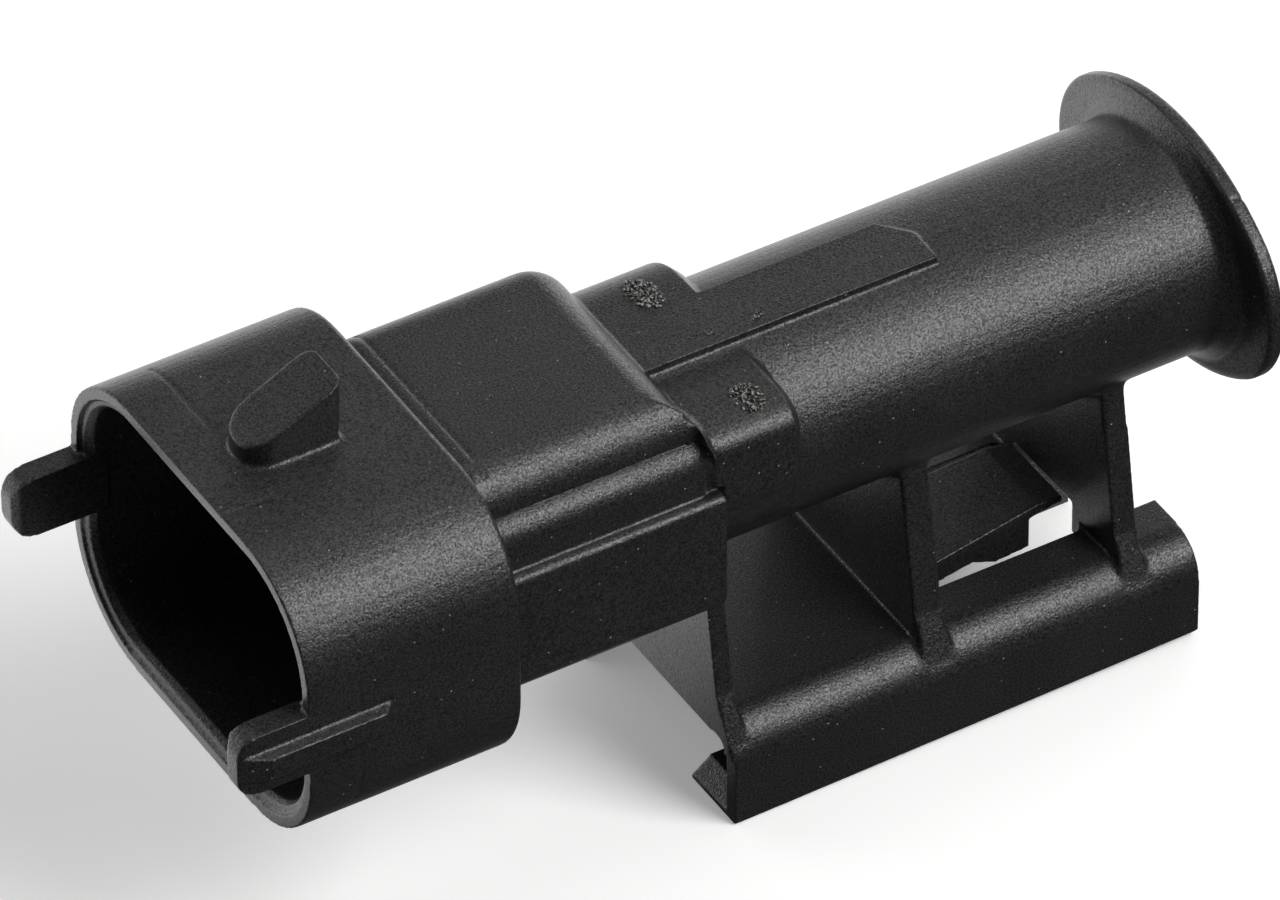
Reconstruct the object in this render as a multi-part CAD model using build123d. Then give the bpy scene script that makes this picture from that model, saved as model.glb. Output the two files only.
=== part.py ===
from build123d import *
import os

# Sealed two-way pin connector housing with a slide rail underneath.
# X runs from the mating face towards the wires, Z is up, and the origin is the
# middle of the mating face.

# Mating shroud
shroud_length = 13.1
shroud_width = 25.8
shroud_height = 18.6
shroud_corner = 6.5
shroud_wall = 1.4
shroud_floor = 1.7
shroud_edge = 0.35
rim_band = 0.75
rim_step = 0.25
rim_lead = 0.45

# Guide keys that stand out of the mouth, and the rib behind each one
key_reach = 4.4
key_height = 4.0
key_thickness = 1.5
key_corner = 1.3
key_lead = 0.4
rib_height = 1.45
rib_draft = 0.3
rib_depth = 0.72
rib_reach = 4.35
rib_tail = 5.1
rib_lead = 1.65

# Locking ramp on top of the shroud
ramp_start = 3.0
ramp_length = 5.85
ramp_width = 3.6
ramp_nose_height = 1.2
ramp_height = 4.0
ramp_undercut = 0.35
ramp_corner = 0.8
ramp_nose_share = 0.95

# Stepped body block behind the shroud
body_length = 16.8
body_top = 7.4
body_bottom = 6.6
body_half_width = 9.05
body_far_corner = 3.0
body_low_corner = 1.5
body_rear_round = 2.3
body_ledge = 0.85
ridge_half_width = 6.5
ridge_corner = 1.4
ridge_foot = 4.5
shoulder_half_width = 8.3
shoulder_corner = 1.7
shoulder_foot = 1.8
shoulder_end_corner = 0.6
step_corner = 0.5

# Collar between the body and the tube
collar_length = 5.2
collar_half_width = 8.1
collar_near_top = 5.8
collar_bottom = 6.6
collar_near_corner = 1.4
collar_far_corner = 4.8
collar_edge = 0.6

# Oval wire tube and its end flange
tube_drop = 0.32
tube_half_width = 7.44
tube_half_height = 6.65
tube_wall = 1.5
tube_end_share = 0.93
tube_length = 28.45
flange_thickness = 1.05
flange_half_width = 10.94
flange_half_height = 7.82
flange_end_share = 0.8
flange_edge = 0.2
flange_root = 0.8

# Raised pad along the top of the tube
pad_length = 12.2
pad_near = 2.4
pad_far = 1.8
pad_rise = 0.07
pad_notch = 1.4

# Socket in the body, with a keyway above it
socket_depth = 9.6
socket_wall = 3.0
socket_half_width = 6.8
socket_half_height = 3.2
socket_corner = 1.0
keyway_half_width = 4.6
keyway_top = 5.9
keyway_corner = 0.8

# Contact cavities
contact_pitch = 6.0
blade_width = 2.8
blade_thickness = 0.8
blade_reach = 4.9
blade_clearance = 0.06
chamber_length = 12.0
chamber_width = 3.7
chamber_height = 2.9
bore_length = 9.4
bore_radius = 2.7

# Pressed contact behind the blade
box_gap = 0.05
box_length = 6.4
box_width = 3.5
box_height = 2.5
box_wall = 0.35
tip_bevel = 0.25
tip_length = 1.2
sheet = 0.35
neck_width = 1.5
wire_crimp_lead = 8.2
wire_crimp_length = 3.0
wire_crimp_radius = 1.15
grip_gap = 0.5
grip_length = 2.2
grip_inner = 1.75
crimp_opening = 1.3

# Single wire seal
seal_neck_radius = 1.7
seal_core_radius = 2.25
seal_clearance = 0.03
seal_neck_length = 2.6
seal_length = 8.4
seal_hole = 0.95
seal_rib_count = 3

# Bracket under the tube: three webs on a slide rail
rail_gap = 0.5
rail_tail = 3.15
rail_width = 18.2
rail_top = -15.6
rail_bottom = -22.3
rail_shoulder = 2.5
rail_foot_front_edge = 0.15
rail_foot_rear_edge = 0.55
rail_wall = 1.05
rail_roof = 1.3
rail_inner_corner = 0.8
lip_height = 1.2
lip_gap = 8.8
lip_lead = 1.2
far_lip_setback = 3.0
far_lip_front_width = 1.1
web_crown_half = 5.9
web_crown = -4.8
web_foot_half = 7.55
web_foot = -15.1
web_knee_half = 8.55
web_knee = -16.1
web_toe = -17.6
front_web_gap = 0.3
front_web_thickness = 1.1
middle_web_pitch = 12.75
middle_web_thickness = 1.75
rear_web_pitch = 25.75
rear_web_thickness = 1.5
window_width = 8.8
window_corner = 0.8
rear_slot_width = 6.0
rear_slot_top = -14.75

# Spring tongue that holds the mating clip on the rail
tongue_axis_gap = 0.45
tongue_axis_drop = 0.25
tongue_thickness = 1.5
tongue_root_half = 3.4
tongue_tip_half = 2.7
tongue_tip_gap = 0.4
tongue_crest_gap = 2.05
tongue_crest_rise = 1.7
tongue_tip_rise = 1.15
tongue_tip_thickness = 0.35
tongue_toe_thickness = 0.75
hook_ramp_length = 1.6
hook_length = 2.3
hook_gap = 2.65
hook_depth = 1.25
hinge_clearance = 0.06

# Cuts run past the faces that they open by this much
overrun = 1.0

shroud_half = shroud_width / 2
mouth_depth = shroud_length - shroud_floor
ramp_end = ramp_start + ramp_length
body_end = mouth_depth + body_length
body_upper_end = body_end - body_ledge
body_round_start = body_upper_end - body_rear_round
collar_end = body_end + collar_length
flange_front = collar_end + tube_length
flange_end = flange_front + flange_thickness
pad_end = collar_end + pad_length
tube_axis = -tube_drop
pad_top = tube_axis + tube_half_height + pad_rise

socket_floor = mouth_depth + socket_depth
blade_tip = mouth_depth - blade_reach
chamber_front = socket_floor + socket_wall
bore_front = chamber_front + chamber_length
bore_end = bore_front + bore_length
wire_crimp_start = chamber_front + wire_crimp_lead
grip_start = bore_front + grip_gap

rail_front = body_end + rail_gap
front_web = body_end + front_web_gap
middle_web = front_web + middle_web_pitch
rear_web = front_web + rear_web_pitch
rail_end = rear_web + rear_web_thickness + rail_tail
tongue_axis_x = middle_web + middle_web_thickness + tongue_axis_gap
tongue_axis_z = rail_top - tongue_axis_drop
tongue_tip_x = rear_web - tongue_tip_gap
tongue_crest = rear_web - tongue_crest_gap
hook_rear = rear_web - hook_gap
hook_front = hook_rear - hook_length
hook_ramp_start = hook_front - hook_ramp_length


def outline(points, radii):
    return make_face(FilletPolyline(*points, radius=radii, close=True))


def along_x(shape, start, end):
    return extrude(Plane.YZ.offset(start) * shape, amount=end - start)


def across_y(shape, half_width):
    return extrude(Plane.XZ * shape, amount=half_width, both=True)


def box_between(x0, x1, y0, y1, z0, z1):
    middle = ((x0 + x1) / 2, (y0 + y1) / 2, (z0 + z1) / 2)
    return Pos(*middle) * Box(x1 - x0, y1 - y0, z1 - z0)


def shroud_section(inset):
    width = shroud_width - 2 * inset
    height = shroud_height - 2 * inset
    return RectangleRounded(width, height, shroud_corner - inset)


def shroud():
    solid = along_x(shroud_section(0), 0, shroud_length)
    rear_edge = solid.faces().sort_by(Axis.X)[-1].edges()
    return fillet(rear_edge, shroud_edge)


def guide_key():
    half = key_height / 2
    side_points = [(-key_reach, -half), (shroud_wall, -half), (shroud_wall, half), (-key_reach, half)]
    side = across_y(outline(side_points, [key_corner, 0, 0, key_corner]), shroud_width)
    inner = key_thickness - shroud_half
    plan_points = [
        (-key_reach, -shroud_half),
        (shroud_wall, -shroud_half),
        (shroud_wall, inner),
        (key_lead - key_reach, inner),
        (-key_reach, inner - key_lead),
    ]
    plan = extrude(make_face(Polyline(*plan_points, close=True)), amount=shroud_height, both=True)
    return side & plan


def guide_rib():
    outer = -shroud_half - rib_depth
    root = key_thickness / 2 - shroud_half
    half = rib_height / 2
    section = [(root, -half - rib_draft), (root, half + rib_draft), (outer, half), (outer, -half)]
    bar = along_x(make_face(Polyline(*section, close=True)), -rib_reach, rib_tail)
    points = [
        (-rib_reach, root),
        (-rib_reach, -shroud_half),
        (rib_lead - rib_reach, outer),
        (rib_tail - rib_depth, outer),
        (rib_tail, -shroud_half),
        (rib_tail, root),
    ]
    plan = make_face(Polyline(*points, close=True))
    return bar & extrude(plan, amount=rib_height, both=True)


def locking_ramp():
    base = shroud_height / 2
    top = base + ramp_height
    seat = base - shroud_wall / 2
    points = [
        (ramp_start, seat),
        (ramp_start, base + ramp_nose_height),
        (ramp_end, top),
        (ramp_end - ramp_undercut, base),
        (ramp_end - ramp_undercut, seat),
    ]
    wedge = across_y(make_face(Polyline(*points, close=True)), ramp_width / 2)
    middle = (ramp_start + ramp_end) / 2
    plan = Rectangle(ramp_length, ramp_width)
    nose = fillet(plan.vertices().group_by(Axis.X)[0], ramp_width / 2 * ramp_nose_share)
    plan = fillet(nose.vertices().group_by(Axis.X)[-1], ramp_corner)
    return wedge & extrude(Pos(middle, 0, 0) * plan, amount=top + overrun)


def body():
    points = [
        (-body_half_width, -body_bottom),
        (body_half_width, -body_bottom),
        (body_half_width, body_top),
        (-ridge_half_width, body_top),
        (-ridge_half_width, ridge_foot),
        (-shoulder_half_width, ridge_foot),
        (-shoulder_half_width, shoulder_foot),
        (-body_half_width, shoulder_foot),
    ]
    radii = [
        body_low_corner,
        body_low_corner,
        body_far_corner,
        ridge_corner,
        0,
        shoulder_corner,
        0,
        step_corner,
    ]
    solid = along_x(outline(points, radii), mouth_depth, body_end)
    return solid - body_rear_cut() - shoulder_end_cut() - far_end_cut() - far_corner_cut()


def body_rear_cut():
    behind = body_end + overrun
    high = body_top + overrun
    middle = (body_round_start, body_top - body_rear_round)
    rounding = CenterArc(middle, body_rear_round, 0, 90)
    rest = Polyline(
        (body_round_start, body_top),
        (body_round_start, high),
        (behind, high),
        (behind, shoulder_foot),
        (body_upper_end, shoulder_foot),
        (body_upper_end, body_top - body_rear_round),
    )
    return across_y(make_face(rounding + rest), body_half_width + overrun)


def shoulder_end_cut():
    corner = shoulder_end_corner
    x = body_upper_end - corner
    y = corner - shoulder_half_width
    block = box_between(x, body_upper_end, y - corner - overrun, y, shoulder_foot, ridge_foot)
    post = Cylinder(corner, ridge_foot, align=(Align.CENTER, Align.CENTER, Align.MIN))
    return block - Pos(x, y, 0) * post


def far_end_cut():
    corner = body_rear_round
    y = body_half_width - corner
    side = body_half_width + overrun
    top = body_top - body_far_corner
    block = box_between(body_round_start, body_upper_end, y, side, shoulder_foot, top)
    post = Cylinder(corner, body_top, align=(Align.CENTER, Align.CENTER, Align.MIN))
    return block - Pos(body_round_start, y, 0) * post


def far_corner_cut():
    y = body_half_width - body_far_corner
    z = body_top - body_far_corner
    side = body_half_width + overrun
    block = box_between(body_round_start, body_upper_end, y, side, z, body_top + overrun)
    rest = body_far_corner - body_rear_round
    rounding = CenterArc((body_round_start, rest), body_rear_round, 0, 90)
    edges = Polyline(
        (body_round_start, body_far_corner),
        (body_round_start - overrun, body_far_corner),
        (body_round_start - overrun, 0),
        (body_upper_end, 0),
        (body_upper_end, rest),
    )
    ball = revolve(Plane.XZ * make_face(rounding + edges), Axis.X)
    return block - Pos(0, y, z) * ball


def collar_outline():
    points = [
        (-collar_half_width, -collar_bottom),
        (collar_half_width, -collar_bottom),
        (collar_half_width, pad_top),
        (-pad_near, pad_top),
        (-pad_near, collar_near_top),
        (-collar_half_width, collar_near_top),
    ]
    corners = [body_low_corner, body_low_corner, collar_far_corner, 0, 0, collar_near_corner]
    return outline(points, corners)


def collar():
    solid = along_x(collar_outline(), body_upper_end, collar_end)
    rear_edge = solid.faces().sort_by(Axis.X)[-1].edges()
    solid = chamfer(rear_edge, collar_edge)
    neck = box_between(
        body_round_start,
        body_upper_end,
        -ridge_half_width,
        collar_half_width,
        -collar_bottom,
        pad_top,
    )
    return solid + (neck & along_x(collar_outline(), body_round_start, body_upper_end))


def oval(half_width, half_height, end_share):
    end_radius = end_share * half_height
    reach = half_width - end_radius
    arch_radius = (reach**2 + half_height**2 - end_radius**2) / (2 * (half_height - end_radius))
    join_share = arch_radius / (arch_radius - end_radius)
    join_y = join_share * reach
    join_z = (join_share - 1) * (arch_radius - half_height)
    arch = ThreePointArc((-join_y, join_z), (0, half_height), (join_y, join_z))
    end = ThreePointArc((join_y, join_z), (half_width, 0), (join_y, -join_z))
    ring = arch + end + mirror(arch, about=Plane.XZ) + mirror(end, about=Plane.YZ)
    return Pos(0, tube_axis, 0) * make_face(ring.edges())


def tube_oval(growth):
    return oval(tube_half_width + growth, tube_half_height + growth, tube_end_share)


def tube():
    solid = along_x(tube_oval(0), body_upper_end, flange_end)
    disc = along_x(oval(flange_half_width, flange_half_height, flange_end_share), flange_front, flange_end)
    disc = chamfer(disc.edges(), flange_edge)
    root = loft([
        Plane.YZ.offset(flange_front - flange_root) * tube_oval(0),
        Plane.YZ.offset(flange_front) * tube_oval(flange_root),
    ])
    return solid + root + disc


def top_pad():
    pad = box_between(collar_end - collar_edge, pad_end, -pad_near, pad_far, 0, pad_top)
    notch_points = [(pad_end - pad_notch, pad_far), (pad_end, pad_far), (pad_end, 0)]
    notch = make_face(Polyline(*notch_points, close=True))
    return pad - extrude(notch, amount=pad_top + overrun)


def web(start, thickness):
    toe_half = rail_width / 2
    points = [
        (-toe_half, web_toe),
        (toe_half, web_toe),
        (web_knee_half, web_knee),
        (web_foot_half, web_foot),
        (web_crown_half, web_crown),
        (web_crown_half, tube_axis),
        (-web_crown_half, tube_axis),
        (-web_crown_half, web_crown),
        (-web_foot_half, web_foot),
        (-web_knee_half, web_knee),
    ]
    return along_x(make_face(Polyline(*points, close=True)), start, start + thickness)


def rail():
    half = rail_width / 2
    points = [(-half, rail_bottom), (half, rail_bottom), (half, rail_top), (-half, rail_top)]
    bar = along_x(outline(points, [0, 0, rail_shoulder, rail_shoulder]), rail_front, rail_end)
    edge_cut = loft([foot_edge(rail_front, rail_foot_front_edge), foot_edge(rail_end, rail_foot_rear_edge)])
    bar = bar - edge_cut - mirror(edge_cut, about=Plane.XZ)
    return bar - lip_lead_in() - far_lip_notch()


def foot_edge(x, size):
    side = -rail_width / 2
    points = [(side, rail_bottom), (side + size, rail_bottom), (side, rail_bottom + size)]
    return Plane.YZ.offset(x) * make_face(Polyline(*points, close=True))


def rail_channel():
    half = rail_width / 2 - rail_wall
    floor = rail_bottom + lip_height
    roof = rail_top - rail_roof
    points = [(-half, floor), (half, floor), (half, roof), (-half, roof)]
    corners = [0, 0, rail_inner_corner, rail_inner_corner]
    groove = along_x(outline(points, corners), rail_front - overrun, rail_end + overrun)
    low = rail_bottom - overrun
    gap = box_between(rail_front - overrun, rail_end + overrun, -lip_gap / 2, lip_gap / 2, low, roof)
    return groove + gap


def lip_lead_in():
    top = rail_bottom + lip_height
    points = [(rail_front, top), (rail_front + lip_lead, top), (rail_front, rail_bottom + rail_wall / 4)]
    return across_y(make_face(Polyline(*points, close=True)), rail_width / 2 - rail_wall)


def far_lip_notch():
    far = rail_width / 2 - rail_wall - far_lip_front_width
    front = rail_front - overrun
    end = rail_front + far_lip_setback
    return box_between(front, end, 0, far, rail_bottom - overrun, rail_bottom + lip_height)


def roof_window():
    start = middle_web + middle_web_thickness
    low = rail_top - rail_roof - overrun
    opening = Rectangle(rear_web - start, window_width)
    opening = fillet(opening.vertices().group_by(Axis.X)[-1], window_corner)
    front = extrude(Pos((start + rear_web) / 2, 0, low) * opening, amount=rail_top + overrun - low)
    half = rear_slot_width / 2
    slot = box_between(rear_web - window_corner, rail_end + overrun, -half, half, low, rear_slot_top)
    open_end = box_between(
        rear_web + rear_web_thickness,
        rail_end + overrun,
        -window_width / 2,
        window_width / 2,
        low,
        rail_top + overrun,
    )
    return front + slot + open_end


def tongue_seat():
    radius = tongue_thickness / 2 + hinge_clearance
    groove = Cylinder(radius, window_width, rotation=(90, 0, 0))
    return Pos(tongue_axis_x, 0, tongue_axis_z) * groove


def mouth():
    cavity = along_x(shroud_section(shroud_wall), -overrun, mouth_depth)
    step = along_x(shroud_section(rim_band), -overrun, rim_step)
    half = key_height / 2
    step -= box_between(-overrun, rim_step, -shroud_half, shroud_half, -half, half)
    lead = loft([
        Plane.YZ.offset(rim_step) * shroud_section(shroud_wall - rim_lead / 2),
        Plane.YZ.offset(rim_step + rim_lead) * shroud_section(shroud_wall),
    ])
    return cavity + step + lead - key_backing()


def key_backing():
    half = key_height / 2
    backing = box_between(-overrun, 0, shroud_half - shroud_wall, shroud_half, -half, half)
    return backing + mirror(backing, about=Plane.XZ)


def socket():
    lower = RectangleRounded(2 * socket_half_width, 2 * socket_half_height, socket_corner)
    height = keyway_top + socket_half_height
    middle = (keyway_top - socket_half_height) / 2
    upper = Pos(0, middle, 0) * RectangleRounded(2 * keyway_half_width, height, keyway_corner)
    return along_x(lower + upper, mouth_depth - overrun, socket_floor)


def contact_cavity(side):
    y = side * contact_pitch / 2
    slot = Rectangle(blade_width + 2 * blade_clearance, blade_thickness + 2 * blade_clearance)
    passage = along_x(Pos(y, 0, 0) * slot, socket_floor - overrun, chamber_front + overrun)
    chamber = along_x(Pos(y, 0, 0) * Rectangle(chamber_width, chamber_height), chamber_front, bore_front)
    bore = along_x(Pos(y, 0, 0) * Circle(bore_radius), bore_front, bore_end + overrun)
    return passage + chamber + bore


def wire_cavity():
    return along_x(tube_oval(-tube_wall), bore_end, flange_end + overrun)


def housing():
    near_key = guide_key() + guide_rib()
    keys = near_key + mirror(near_key, about=Plane.XZ)
    bracket = web(front_web, front_web_thickness)
    bracket += web(middle_web, middle_web_thickness)
    bracket += web(rear_web, rear_web_thickness)
    bracket = bracket + rail() - rail_channel()
    bracket = bracket - roof_window() - tongue_seat()
    solid = shroud() + locking_ramp() + body() + collar() + tube() + top_pad() + bracket
    solid = solid - mouth() - socket() - wire_cavity()
    solid = solid - contact_cavity(-1) - contact_cavity(1)
    return solid + keys


def tongue_side():
    radius = tongue_thickness / 2
    crest = tongue_axis_z + tongue_crest_rise
    tip = tongue_axis_z + tongue_tip_rise
    toe_top = crest - tongue_toe_thickness
    belly = hook_ramp_start
    points = [
        (tongue_axis_x, tongue_axis_z + radius),
        (tongue_crest, crest),
        (tongue_tip_x, tip + tongue_tip_thickness),
        (tongue_tip_x, tip),
        (hook_rear, toe_top),
        (hook_rear, tongue_axis_z - hook_depth + tongue_tip_thickness / 2),
        (hook_front, tongue_axis_z - hook_depth + tongue_tip_thickness / 2),
        (belly, tongue_axis_z - tongue_tip_thickness),
        (tongue_axis_x, tongue_axis_z - radius),
    ]
    return make_face(Polyline(*points, close=True))


def rail_latch():
    plate = across_y(tongue_side(), tongue_root_half)
    plan_points = [
        (tongue_axis_x, -tongue_root_half),
        (tongue_tip_x, -tongue_tip_half),
        (tongue_tip_x, tongue_tip_half),
        (tongue_axis_x, tongue_root_half),
    ]
    plan = make_face(Polyline(*plan_points, close=True))
    plate = plate & extrude(plan, amount=2 * rail_bottom)
    root = Cylinder(tongue_thickness / 2, 2 * tongue_root_half, rotation=(90, 0, 0))
    return plate + Pos(tongue_axis_x, 0, tongue_axis_z) * root


def blade():
    length = chamber_front + box_length - blade_tip
    bar = along_x(Rectangle(blade_width, blade_thickness), blade_tip, blade_tip + length)
    tip_plan = [
        (blade_tip - overrun, -blade_width / 2 + tip_bevel),
        (blade_tip, -blade_width / 2 + tip_bevel),
        (blade_tip + tip_length, -blade_width / 2),
        (blade_tip + length, -blade_width / 2),
        (blade_tip + length, blade_width / 2),
        (blade_tip + tip_length, blade_width / 2),
        (blade_tip, blade_width / 2 - tip_bevel),
        (blade_tip - overrun, blade_width / 2 - tip_bevel),
    ]
    plan = extrude(make_face(Polyline(*tip_plan, close=True)), amount=blade_thickness, both=True)
    tip_side = [
        (blade_tip, -blade_thickness / 2 + tip_bevel),
        (blade_tip + tip_length, -blade_thickness / 2),
        (blade_tip + length, -blade_thickness / 2),
        (blade_tip + length, blade_thickness / 2),
        (blade_tip + tip_length, blade_thickness / 2),
        (blade_tip, blade_thickness / 2 - tip_bevel),
    ]
    side = across_y(make_face(Polyline(*tip_side, close=True)), blade_width)
    return bar & plan & side


def contact_box():
    start = chamber_front + box_gap
    outer = Rectangle(box_width, box_height)
    inner = Rectangle(box_width - 2 * box_wall, box_height - 2 * box_wall)
    sleeve = along_x(outer - inner, start, start + box_length)
    front = along_x(outer, start, start + box_wall)
    return sleeve + front


def crimp(inner_radius, start, length):
    ring = Circle(inner_radius + sheet) - Circle(inner_radius)
    cut = Pos(0, inner_radius, 0) * Rectangle(crimp_opening, 2 * inner_radius)
    return along_x(ring - cut, start, start + length)


def contact_strip():
    top = sheet - box_height / 2
    low = -box_height / 2
    seat = -grip_inner - sheet
    front = chamber_front + box_length
    bend = bore_front + box_gap
    rear = grip_start + grip_length
    points = [
        (front, low),
        (bend, low),
        (grip_start, seat),
        (rear, seat),
        (rear, -grip_inner),
        (grip_start + sheet, -grip_inner),
        (bend + sheet, top),
        (front, top),
    ]
    strip = across_y(make_face(Polyline(*points, close=True)), neck_width / 2)
    return strip - along_x(Circle(grip_inner), grip_start, rear + overrun)


def contact(side):
    wire_lift = wire_crimp_radius - box_height / 2
    wire_crimp = crimp(wire_crimp_radius - sheet, wire_crimp_start, wire_crimp_length)
    wire_crimp = Pos(0, 0, wire_lift) * wire_crimp
    grip = crimp(grip_inner, grip_start, grip_length)
    solid = blade() + contact_box() + contact_strip() + wire_crimp + grip
    return Pos(0, side * contact_pitch / 2, 0) * solid


def seal(side):
    start = grip_start
    main_start = start + seal_neck_length
    end = start + seal_length
    outer = bore_radius - seal_clearance
    pitch = (end - main_start) / seal_rib_count
    points = [(start, seal_hole), (start, seal_neck_radius), (main_start, seal_neck_radius)]
    for index in range(seal_rib_count):
        valley = main_start + pitch * index
        points.append((valley, seal_core_radius))
        points.append((valley + pitch / 2, outer))
    points.append((end, seal_core_radius))
    points.append((end, seal_hole))
    half_section = Plane.XZ * make_face(Polyline(*points, close=True))
    return Pos(0, side * contact_pitch / 2, 0) * revolve(half_section, Axis.X)


parts = {
    "housing": housing(),
    "rail_latch": rail_latch(),
    "contact_near": contact(-1),
    "contact_far": contact(1),
    "wire_seal_near": seal(-1),
    "wire_seal_far": seal(1),
}

os.makedirs("parts", exist_ok=True)
for name, solid in parts.items():
    export_step(solid, f"parts/{name}.step")
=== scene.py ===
import math
import bmesh
import bpy
import numpy as np
from mathutils import Matrix, Vector


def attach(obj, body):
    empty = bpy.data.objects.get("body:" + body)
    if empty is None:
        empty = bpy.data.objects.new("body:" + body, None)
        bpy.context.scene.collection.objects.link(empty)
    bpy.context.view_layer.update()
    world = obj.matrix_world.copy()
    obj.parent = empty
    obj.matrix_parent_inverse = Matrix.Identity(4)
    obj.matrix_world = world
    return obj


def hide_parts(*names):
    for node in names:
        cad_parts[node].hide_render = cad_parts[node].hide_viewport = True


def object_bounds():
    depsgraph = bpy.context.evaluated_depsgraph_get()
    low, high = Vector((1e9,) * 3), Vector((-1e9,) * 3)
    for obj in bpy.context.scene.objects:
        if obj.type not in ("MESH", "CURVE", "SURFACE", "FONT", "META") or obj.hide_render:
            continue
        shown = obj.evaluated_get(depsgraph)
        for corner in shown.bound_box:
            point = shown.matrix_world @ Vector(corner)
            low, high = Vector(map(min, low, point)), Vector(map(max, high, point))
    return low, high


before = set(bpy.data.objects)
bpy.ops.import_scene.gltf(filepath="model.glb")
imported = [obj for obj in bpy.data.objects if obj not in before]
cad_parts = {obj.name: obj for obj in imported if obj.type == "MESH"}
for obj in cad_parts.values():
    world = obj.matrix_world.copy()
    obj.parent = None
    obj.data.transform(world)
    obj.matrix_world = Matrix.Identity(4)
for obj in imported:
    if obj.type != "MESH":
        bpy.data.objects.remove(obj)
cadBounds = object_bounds()
scene = bpy.context.scene
mm = 0.001
print("frame loaded:", ", ".join(sorted(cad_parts)))


# shared helpers

def directionAt(azimuth, elevation):
    return Vector((
        math.sin(azimuth) * math.cos(elevation),
        -math.cos(azimuth) * math.cos(elevation),
        math.sin(elevation),
    ))


def linkedObject(name, data):
    thing = bpy.data.objects.new(name, data)
    scene.collection.objects.link(thing)
    return thing


def shadeSmooth(mesh):
    for face in mesh.polygons:
        face.use_smooth = True


def cleanMesh(mesh, work):
    shape = bmesh.new()
    shape.from_mesh(mesh)
    work(shape)
    shape.to_mesh(mesh)
    shape.free()


def ramp(values, start, over):
    return np.clip((values - start) / over, 0, 1)


# camera at the photograph's angle

cameraSetup = {
    "position": (-254.93, -475.06, 474.22),  # mm, in the part's frame
    "azimuth": -30.787,  # degrees
    "elevation": 40.701,
    "roll": -0.338,
    "focalLength": 377.137,  # mm on a 36 mm wide sensor
    "sensorWidth": 36.0,
    "near": 0.02,  # metres
    "far": 20.0,
}


def addCamera():
    azimuth, elevation, roll = (math.radians(cameraSetup[k]) for k in ("azimuth", "elevation", "roll"))
    back = directionAt(azimuth, elevation)
    right = Vector((math.cos(azimuth), math.sin(azimuth), 0))
    up = back.cross(right)
    turnedRight = math.cos(roll) * right + math.sin(roll) * up
    turnedUp = math.cos(roll) * up - math.sin(roll) * right
    data = bpy.data.cameras.new("photoCamera")
    data.sensor_width = cameraSetup["sensorWidth"]
    data.lens = cameraSetup["focalLength"]
    data.clip_start = cameraSetup["near"]
    data.clip_end = cameraSetup["far"]
    camera = linkedObject("photoCamera", data)
    pose = Matrix((turnedRight, turnedUp, back)).transposed().to_4x4()
    pose.translation = Vector(cameraSetup["position"]) * mm
    camera.matrix_world = pose
    scene.camera = camera


addCamera()
scene.view_settings.view_transform = "Standard"
print("camera placed")


# node and colour helpers

# sRGB hex code to linear red, green, blue and alpha
def linearColour(hexCode):
    channels = [int(hexCode[i:i + 2], 16) / 255 for i in (0, 2, 4)]
    return [c / 12.92 if c <= 0.04045 else ((c + 0.055) / 1.055) ** 2.4 for c in channels] + [1.0]


def addNode(tree, kind, inputs=None, **settings):
    node = tree.nodes.new(kind)
    for name, value in settings.items():
        setattr(node, name, value)
    for name, value in (inputs or {}).items():
        if isinstance(value, bpy.types.NodeSocket):
            tree.links.new(value, node.inputs[name])
        else:
            node.inputs[name].default_value = value
    return node


def newMaterial(name):
    material = bpy.data.materials.new(name)
    material.use_nodes = True
    material.node_tree.nodes.clear()
    return material, material.node_tree


def finishMaterial(tree, shader):
    addNode(tree, "ShaderNodeOutputMaterial", {"Surface": shader.outputs[0]})


# glass-filled nylon, moulded in a spark-eroded tool: fine pitted grain, soft sheen on
# rounded edges, faint flow clouds and a few pale fibre ends and dust grains

nylon = {
    "deep": "181818",
    "worn": "232323",
    "fibre": "8a8a86",
    "grain": 0.24,  # mm between pits
    "grainRounding": 0.6,
    "fineGrain": 0.12,  # mm
    "pitShare": 0.25,
    "speckle": 0.13,  # mm
    "speckleFrom": 0.3,
    "speckleTo": 0.7,
    "speckleDark": 0.45,
    "speckleLight": 1.6,
    "clouds": 5.0,  # mm
    "fibreSpacing": 0.85,  # mm
    "fibreCore": 0.0375,
    "fibreShare": 0.075,
    "fibrePaleness": 0.8,
    "roughLow": 0.27,
    "roughHigh": 0.38,
    "grainDepth": 0.034,  # mm
    "ior": 1.53,
    "gloss": 0.5,
}


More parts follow.
